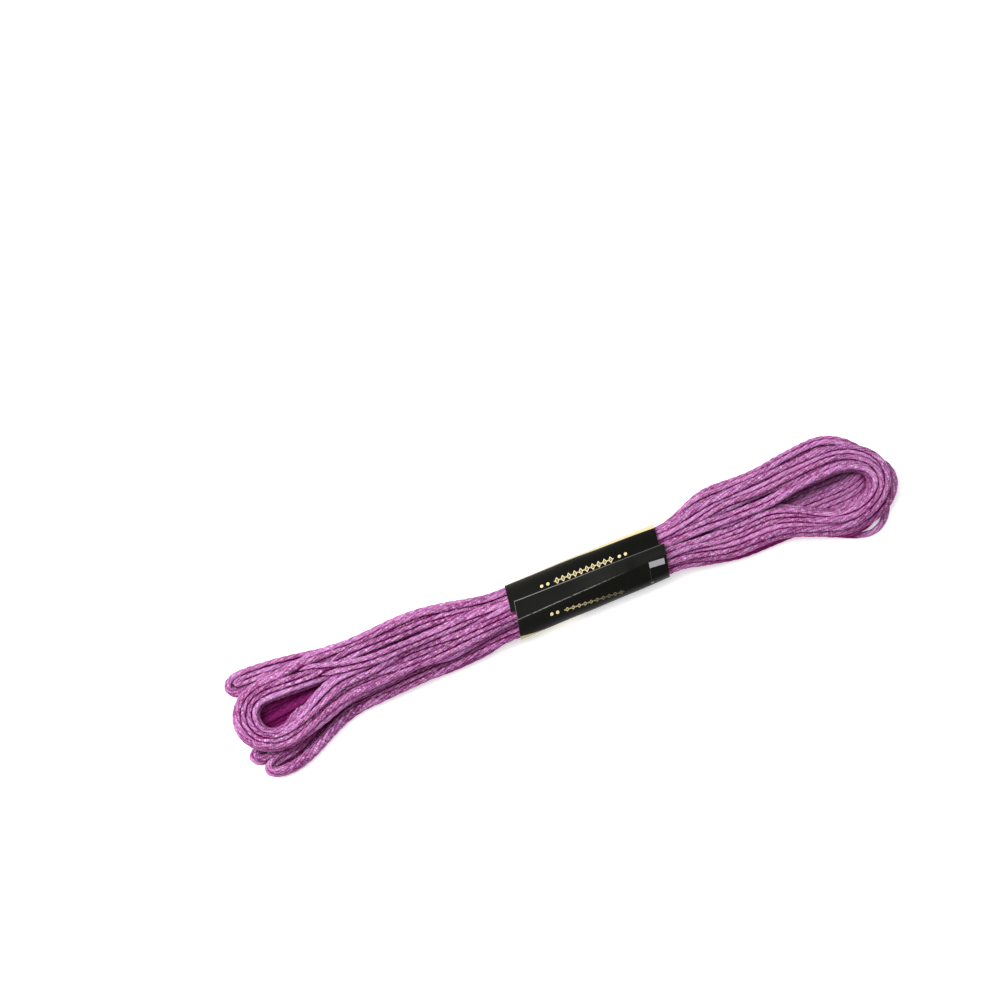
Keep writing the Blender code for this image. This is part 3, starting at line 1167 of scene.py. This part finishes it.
    def _pressed(self, everything: list[Strand], rings: Array) -> Array:
        """Flattens each section against its neighbours and the surface below.

        Args:
            everything: All loops, in the order of the rings.
            rings: Their corners, which are moved in place.

        Returns:
            How deep in a nook between two runs each corner lies, from 0 to 1.
        """
        centre = np.concatenate([strand.centre for strand in everything])
        owner = np.repeat(np.arange(len(everything)), [len(strand.centre) for strand in everything])
        heading = np.concatenate([np.cross(strand.up, strand.side) for strand in everything])
        a, b = near_pairs(centre, self.touch_reach * self.radius, 1)
        other = (owner[a] != owner[b]) | (b - a > self.touch_apart)
        a, b = np.concatenate([a[other], b[other]]), np.concatenate([b[other], a[other]])
        gap = centre[b] - centre[a]
        off = np.sum(gap * heading[a], axis=1)
        level = np.abs(off) < self.touch_level * self.spacing
        a, gap, off = a[level], gap[level], off[level]
        gap -= off[:, None] * heading[a]
        away = norms(gap)
        apart = away > self.seam * 10
        a, gap, away = a[apart], gap[apart], away[apart]
        order = np.argsort(a, kind="stable")
        a, gap, away = a[order], gap[order] / away[order, None], away[order]
        turn = np.arange(len(a)) - np.searchsorted(a, a, side="left")
        nook = np.zeros(rings.shape[:2])
        for k in range(int(turn.max()) + 1):
            now = turn == k
            who, way, limit = a[now], gap[now], away[now, None] / 2 - self.seam
            beyond = np.einsum("ijk,ik->ij", rings[who], way) - limit
            rings[who] -= np.maximum(beyond, 0.0)[..., None] * way[:, None, :]
            nook[who] = np.maximum(nook[who], np.clip(1 + beyond / self.nook_reach, 0.0, 1.0))
        rings[..., 2] -= np.minimum(centre[:, None, 2] + rings[..., 2] - self.lift, 0.0)
        return nook

    def _painted_cover(self, everything: list[Strand]) -> list[Array]:
        """Works out how much yarn lies over each point, for the shade that is painted on it.

        Args:
            everything: All loops.

        Returns:
            For each loop, a share from 0 on top to 1 deep inside.
        """
        centre = np.concatenate([strand.centre for strand in everything])
        length = np.concatenate([np.gradient(strand.run) for strand in everything])
        a, b = near_pairs(centre, self.cover_reach, 3)
        gap = centre[b] - centre[a]
        away = np.maximum(norms(gap), self.radius)
        weight = (gap[:, 2] / away) * (1 - away / self.cover_reach) / away
        over = np.bincount(a, np.maximum(weight, 0.0) * length[b], len(centre))
        over += np.bincount(b, np.maximum(-weight, 0.0) * length[a], len(centre))
        share = smooth((over / self.cover_full - self.cover_from) / (1 - self.cover_from))
        return np.split(share, [strand.start for strand in everything[1:]])

    def _piece(
        self,
        name: str,
        strands: list[Strand],
        rings: Array,
        nooks: Array,
        material: Material,
        rng: np.random.Generator,
    ) -> Object:
        """Sweeps a group's loops into one mesh.

        Args:
            name: The piece's name.
            strands: Its loops.
            rings: The corners of every loop's sections.
            nooks: How deep in a nook each corner lies.
            material: The finish.
            rng: The source of each loop's own tone.

        Returns:
            The piece.
        """
        angle = self.angles
        around = len(angle)
        points, faces, yarn, girth, charts = [], [], [], [], []
        base = 0
        for row, strand in enumerate(strands):
            count = len(strand.centre)
            mine = slice(strand.start, strand.start + count)
            points.append((strand.centre[:, None, :] + rings[mine]).reshape(-1, 3))
            index = base + np.arange(count * around).reshape(count, around)
            right = np.roll(index, -1, axis=1)
            faces.append(np.stack([index[:-1], right[:-1], right[1:], index[1:]], -1).reshape(-1, 4))
            tone = np.full(count * around, rng.uniform())
            yarn.append(np.stack([np.repeat(strand.run, around), tone, nooks[mine].ravel()], 1))
            ring = np.tile(np.stack([np.cos(angle), np.sin(angle)], 1), (count, 1))
            girth.append(np.column_stack([ring, np.repeat(strand.depth, around)]))
            charts.append(self._chart(strand.run, row, len(strands)))
            base += count * around
        points, faces, yarn, girth, chart = map(np.concatenate, (points, faces, yarn, girth, charts))
        return add_mesh(name, points, faces, material, {"yarn": yarn, "girth": girth}, chart)

    def _chart(self, run: Array, row: int, rows: int) -> Array:
        """Lays one loop's surface flat as a strip, with a margin round it.

        Args:
            run: The length along the yarn at each ring.
            row: Which strip this is.
            rows: How many strips share the map.

        Returns:
            The place on the map of each corner of each face.
        """
        around = len(self.angles)
        share = 0.002 + 0.996 * run / run[-1]
        left, right = share[:-1, None], share[1:, None]
        edges = (row + 0.04 + 0.92 * np.arange(around + 1) / around) / rows
        low, high = edges[None, :-1], edges[None, 1:]
        ones = np.ones((len(run) - 1, around))
        corners = [(left, low), (left, high), (right, high), (right, low)]
        return np.stack([np.stack([u * ones, v * ones], -1) for u, v in corners], 2).reshape(-1, 2)


@dataclass
class Band:
    """The paper band: a sheet that goes round once, and its end as a flap over the top."""

    waist: Waist
    finish: Paper
    left: float = -12.9
    right: float = 23.7
    skew: float = 0.15
    sheet: float = 0.15
    sleeve_reach: float = 0.7
    flap_reach: float = 0.93
    flap_shift: float = 1.25
    flap_skew: float = 0.24
    flap_start: tuple[float, float] = (81.5, 89.8)
    flap_joins: float = 150.0
    flap_end: float = 238.0
    sleeve_end: float = 100.0
    crease_angle: float = 117.4
    crease_rise: float = 0.26
    crease_reach: float = 34.0
    edge_lift: float = 0.1
    ripple: float = 0.05
    fine_ripple: float = 0.03
    stations: int = 74

    def build(self) -> list[Object]:
        """Makes the sleeve and the flap.

        Returns:
            The two pieces.
        """
        material = self.finish.material()
        x = np.linspace(self.left, self.right, self.stations)
        whole = np.linspace(math.radians(self.flap_end - 360), math.radians(self.sleeve_end), 151)
        drift = self.flap_shift * (whole[-1] - whole) / (whole[-1] - whole[0])
        whole = np.tile(whole, (len(x), 1))
        sleeve = self._sheet("band_sleeve", x, drift, whole, self.sleeve_reach, False, material)
        start = np.radians(blend(*self.flap_start, (x - self.left) / (self.right - self.left)))
        angles = blend(start[:, None], math.radians(self.flap_end), np.linspace(0, 1, 121)[None, :])
        reach = blend(self.flap_reach, self.sleeve_reach, self._joined(np.degrees(angles)))
        flap = self._sheet("band_flap", x + self.flap_shift, 0.0, angles, reach, True, material)
        return [sleeve, flap]

    def _joined(self, degrees: Array) -> Array:
        """Returns how far the flap has come down to the sleeve, at each place round the band."""
        return smooth((degrees - self.flap_joins) / (self.flap_end - self.flap_joins))

    def _layer(self, x: Array, angle: Array, reach: Values, flap: bool) -> Array:
        """Bends one face of the sheet round the yarn.

        Args:
            x: The place along the band, a row for each station.
            angle: The place round it, in radians.
            reach: How far from the yarn it lies.
            flap: Whether it is the flap, which has a crease and is more askew.

        Returns:
            The points.
        """
        degrees = np.degrees(angle)
        uneven = self.ripple * np.sin(0.21 * x + 0.06 * degrees)
        uneven = uneven + self.fine_ripple * np.sin(0.47 * x - 0.045 * degrees + 1.0)
        grown = reach + uneven * smooth((degrees + 60) / 60) * (1 - smooth((degrees - 180) / 40))
        skew: Values = self.skew
        if flap:
            crest = self.crease_angle - 0.16 * (x + 10.3)
            crease = np.maximum(0.0, 1 - np.abs(degrees - crest) / self.crease_reach) ** 1.3
            lifted = 1 - smooth((degrees - degrees[:, :1]) / 9.0)
            risen = self.crease_rise * crease * (1 - 0.6 * smooth((x - 15) / 3))
            grown = grown + risen + self.edge_lift * lifted
            skew = blend(self.flap_skew, self.skew, self._joined(degrees))
        y, z = self.waist.outline(angle, grown)
        z = np.maximum(z, self.waist.floor - self.sleeve_reach + 0.01)
        return np.stack([x + skew * (y - self.waist.y), y, z], -1)

    def _sheet(
        self,
        name: str,
        stations: Array,
        drift: Values,
        angle: Array,
        reach: Values,
        flap: bool,
        material: Material,
    ) -> Object:
        """Makes a sheet with two faces and cut edges.

        Args:
            name: The piece's name.
            stations: The places along the band.
            drift: How far the sheet has moved along the band at each place round it.
            angle: A row of places round it for each station.
            reach: How far its outer face lies from the yarn.
            flap: Whether it is the flap.
            material: The finish.

        Returns:
            The piece.
        """
        x = np.repeat(stations[:, None], angle.shape[1], 1)
        outer = self._layer(x + drift, angle, reach, flap)
        inner = self._layer(x + drift, angle, reach - self.sheet, flap)
        s = np.array([travelled(row[:, 1:]) for row in outer])
        top = np.array([np.interp(math.pi / 2, row, places) for row, places in zip(angle, s)])
        s = s - top[:, None]
        if flap:
            past_top = 0.5 * math.pi - angle[:, :1]
            s = s + self.waist.half_width * past_top * (past_top < 0)
        marks = np.stack([x, s, np.full(x.shape, float(flap))], -1)
        depth = s - s[:, :1]
        patches = [
            (outer, marks, 0.0, 0.0, depth, 1),
            (inner, marks, 0.0, 1.0, depth, -1),
            self._rim(inner[0], outer[0], marks[0]),
            self._rim(outer[-1], inner[-1], marks[-1]),
        ]
        if flap:
            patches.append(self._rim(outer[:, 0], inner[:, 0], marks[:, 0]))
            patches.append(self._rim(inner[:, -1], outer[:, -1], marks[:, -1]))
        points, faces, prints, sheets = [], [], [], []
        base = 0
        for grid, mark, cut, inside, deep, way in patches:
            index = base + np.arange(deep.size).reshape(deep.shape)
            quads = np.stack([index[:-1, :-1], index[1:, :-1], index[1:, 1:], index[:-1, 1:]], -1)
            faces.append(quads.reshape(-1, 4)[:, ::way])
            points.append(grid.reshape(-1, 3))
            prints.append(mark.reshape(-1, 3))
            sheets.append(np.stack([0 * deep + cut, 0 * deep + inside, deep], -1).reshape(-1, 3))
            base += deep.size
        points, faces, prints, sheets = map(np.concatenate, (points, faces, prints, sheets))
        return add_mesh(name, points, faces, material, {"print": prints, "sheet": sheets})

    @staticmethod
    def _rim(first: Array, second: Array, mark: Array) -> tuple[Array, Array, float, float, Array, int]:
        """Makes the cut edge between the sheet's two faces.

        Args:
            first: The edge of the one face.
            second: The edge of the other.
            mark: Where each point of the edge lies on the flat sheet.

        Returns:
            Its points, their marks, that they are cut and not inside, their depth, and the
            direction of the faces.
        """
        return np.stack([first, second]), np.stack([mark, mark]), 1.0, 0.0, np.zeros((2, len(first))), 1


@dataclass
class Studio:
    """The white table, the soft lights and the camera, as in the photograph."""

    floor: Floor
    yaw: float = 23.8
    elevation: float = 70.0
    distance: float = 1.1
    pixels_per_mm: float = 4.453
    picture: int = 1000
    band_pixel: tuple[float, float] = (585.5, 581.8)
    band_point: tuple[float, float, float] = (5.7, 1.18, 3.48)
    sensor: float = 36.0
    floor_reach: float = 3000.0
    surround: float = 0.5

    def build(self) -> None:
        """Adds everything that isn't part of the skein."""
        self._camera()
        self._floor()
        self._lights()

    def _camera(self) -> None:
        """Looks down at the skein so that it fills the photograph's frame."""
        yaw, rise = math.radians(self.yaw), math.radians(self.elevation)
        right = Vector((math.cos(yaw), -math.sin(yaw), 0.0))
        up = Vector((math.sin(yaw) * math.sin(rise), math.cos(yaw) * math.sin(rise), math.cos(rise)))
        back = right.cross(up)
        middle = self.picture / 2
        sideways = (middle - self.band_pixel[0]) / self.pixels_per_mm * MM
        upward = (self.band_pixel[1] - middle) / self.pixels_per_mm * MM
        aim = Vector(self.band_point) * MM + right * sideways + up * upward
        camera = bpy.data.cameras.new("camera")
        camera.sensor_width = self.sensor
        camera.lens = self.sensor * self.distance / (self.picture / self.pixels_per_mm * MM)
        camera.clip_start = 0.05
        placed = add_object("camera", camera)
        turned = Matrix((right, up, back)).transposed().to_4x4()
        placed.matrix_world = Matrix.Translation(aim + back * self.distance) @ turned
        bpy.context.scene.camera = placed

    def _floor(self) -> None:
        """Adds the surface."""
        corners = np.array([[-1, -1, 0], [1, -1, 0], [1, 1, 0], [-1, 1, 0]]) * self.floor_reach
        made = add_mesh("table_top", corners, np.array([[0, 1, 2, 3]]), self.floor.material())

    def _lights(self) -> None:
        """Adds a lamp over the far left, a weaker one above, and an even white surround."""
        for name, place, size, power in (
            ("window", (-0.58, 0.34, 0.61), 0.7, 8.0),
            ("sky", (-0.3, 0.06, 0.95), 0.8, 4.8),
        ):
            lamp = bpy.data.lights.new(name, "AREA")
            lamp.shape = "DISK"
            lamp.size = size
            lamp.energy = power
            placed = add_object(name, lamp)
            placed.location = place
            placed.rotation_euler = (-Vector(place)).to_track_quat("-Z", "Y").to_euler()
        world = bpy.data.worlds.new("surround")
        world.use_nodes = True
        backdrop = world.node_tree.nodes["Background"].inputs
        backdrop["Color"].default_value = (1.0, 1.0, 1.0, 1.0)
        backdrop["Strength"].default_value = self.surround
        bpy.context.scene.world = world
        bpy.context.scene.view_settings.view_transform = "Standard"


def loops() -> dict[str, Loop]:
    """Gives the sizes of all loops, in the order of the fields of Loop, Turn and Leg.

    Returns:
        The loops of both ends by name, along the lines of the solid skein.
    """
    left, right = Side.LEFT, Side.RIGHT
    return {
        "left_fold": Loop(
            left, 9, 2, 0.66, Turn(-71.2, 0.3, 2.2, 3.1), Turn(-70.4, 0.7, 10.0, 8.8),
            Leg(2.3, 6.6, 2.7, 10.3, 3.9, 3.8), Leg(3.6, -2.2, 4.4, -4.7, 5.1, 4.6), wander=0.8,
        ),
        "left_under": Loop(
            left, 4, 1, 0.6, Turn(-74.6, 2.0, 0.8, -0.5), Turn(-74.4, 1.5, 4.6, 4.3),
            Leg(2.5, 5.8, 2.9, 7.4, 1.4, 0.6), Leg(2.0, -0.6, 3.1, -1.5, 1.4, 0.6), wander=0.05, painted_shade=1.15,
        ),
        "left_stray": Loop(
            left, 3, 1, 0.5, Turn(-73.4, 11.1, 2.4, -0.7), Turn(-73.2, 11.0, 4.9, 3.7),
            Leg(5.0, 6.6, 7.6, 9.8, 3.6, 1.7), Leg(4.0, 2.2, 3.8, 1.6, 6.4, 1.6),
            loose=1, loose_gap=0.1, loose_reach=60.0, wander=0.2,
        ),
        "left_end": Loop(
            left, 5, 2, 0.62, Turn(-72.4, -10.0, 2.0, 0.15), Turn(-72.0, -9.9, 5.6, 2.7),
            Leg(-1.6, 1.6, -2.6, 2.0, 1.4, 1.2), Leg(-1.6, -5.7, -2.6, -5.3, 1.0, 1.0), wander=0.4,
        ),
        "left_corner": Loop(
            left, 3, 1, 0.76, Turn(-74.6, -6.4, 2.2, 0.4), Turn(-74.6, -6.2, 5.2, 2.4),
            Leg(0.0, 2.4, -0.6, 3.2, 1.0, 0.8), Leg(-0.6, -3.4, -1.4, -4.0, 1.4, 0.9), wander=0.4,
        ),
        "right_fold": Loop(
            right, 10, 2, 0.55, Turn(67.0, -2.7, 7.4, 3.5), Turn(66.9, -1.4, 12.7, 9.9),
            Leg(0.6, 5.4, -0.6, 8.4, 4.6, 4.9), Leg(2.0, -4.3, 2.2, -7.2, 3.9, 3.0), wander=0.45,
        ),
        "right_slack": Loop(
            right, 1, 1, 0.55, Turn(67.0, -2.7, 12.7, 7.9), Turn(67.0, -2.7, 13.7, 8.9),
            Leg(4.0, 5.0, 6.4, 7.4, 4.8, 4.2), Leg(-3.3, -4.3, -6.2, -7.2, 4.0, 3.0),
            loose=1, loose_reach=70.0, wander=0.3,
        ),
        "right_under": Loop(
            right, 5, 1, 0.45, Turn(69.4, 2.4, 5.6, 1.6), Turn(67.6, 1.0, 9.0, 7.0),
            Leg(1.6, 5.6, 2.0, 6.6, 2.4, 1.2), Leg(1.6, -2.8, 0.2, -5.2, 2.8, 1.4), wander=0.2, painted_shade=0.3,
        ),
        "right_deep": Loop(
            right, 2, 1, 0.45, Turn(72.2, 1.2, 1.4, 0.55), Turn(72.2, 1.2, 2.8, 1.65),
            Leg(1.6, 3.6, 1.8, 2.9, 1.0, 0.6), Leg(1.6, -0.4, 0.7, -0.4, 1.0, 0.6), wander=0.2, painted_shade=0.5,
        ),
        "right_end": Loop(
            right, 5, 2, 0.66, Turn(66.6, -0.6, 7.4, 7.4), Turn(66.4, 0.3, 11.3, 12.9),
            Leg(3.8, 6.6, 6.4, 11.7, 2.2, 1.1), Leg(0.4, -7.2, 0.2, -7.8, 1.2, 0.8), wander=0.5,
        ),
        "right_lobe": Loop(
            right, 1, 1, 0.64, Turn(69.8, -4.0, 6.6, 8.8), Turn(69.8, -4.0, 7.6, 9.8),
            Leg(4.0, 5.0, 4.6, 5.6, 1.6, 0.8), Leg(-3.6, -4.6, -6.4, -7.4, 1.0, 0.7),
            loose=1, loose_at=-30.0, loose_reach=80.0, wander=0.2,
        ),
    }


def main() -> None:
    """Builds the pieces in order and reports each."""
    logging.basicConfig(level=logging.INFO, format="%(name)s: %(message)s")
    shares = {
        "left_fold": ("left_fold", "left_under", "left_stray"),
        "left_end": ("left_end", "left_corner"),
        "right_fold": ("right_fold", "right_slack", "right_under"),
        "right_end": ("right_end", "right_lobe", "right_deep"),
    }
    waist = Waist()
    winding = Winding(waist, loops(), shares)
    LOG.info("yarn of %.2f m", travelled(winding.points)[-1] * MM)
    for piece in Yarn(winding, Cotton()).build():
        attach(piece, "root")
        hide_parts("skein")
        LOG.info("%s: %d faces", piece.name, len(piece.data.polygons))
    for piece in Band(waist, Paper()).build():
        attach(piece, "root")
        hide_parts("band")
        LOG.info("%s: %d faces", piece.name, len(piece.data.polygons))
    Studio(Floor()).build()


if __name__ == "__main__":
    main()
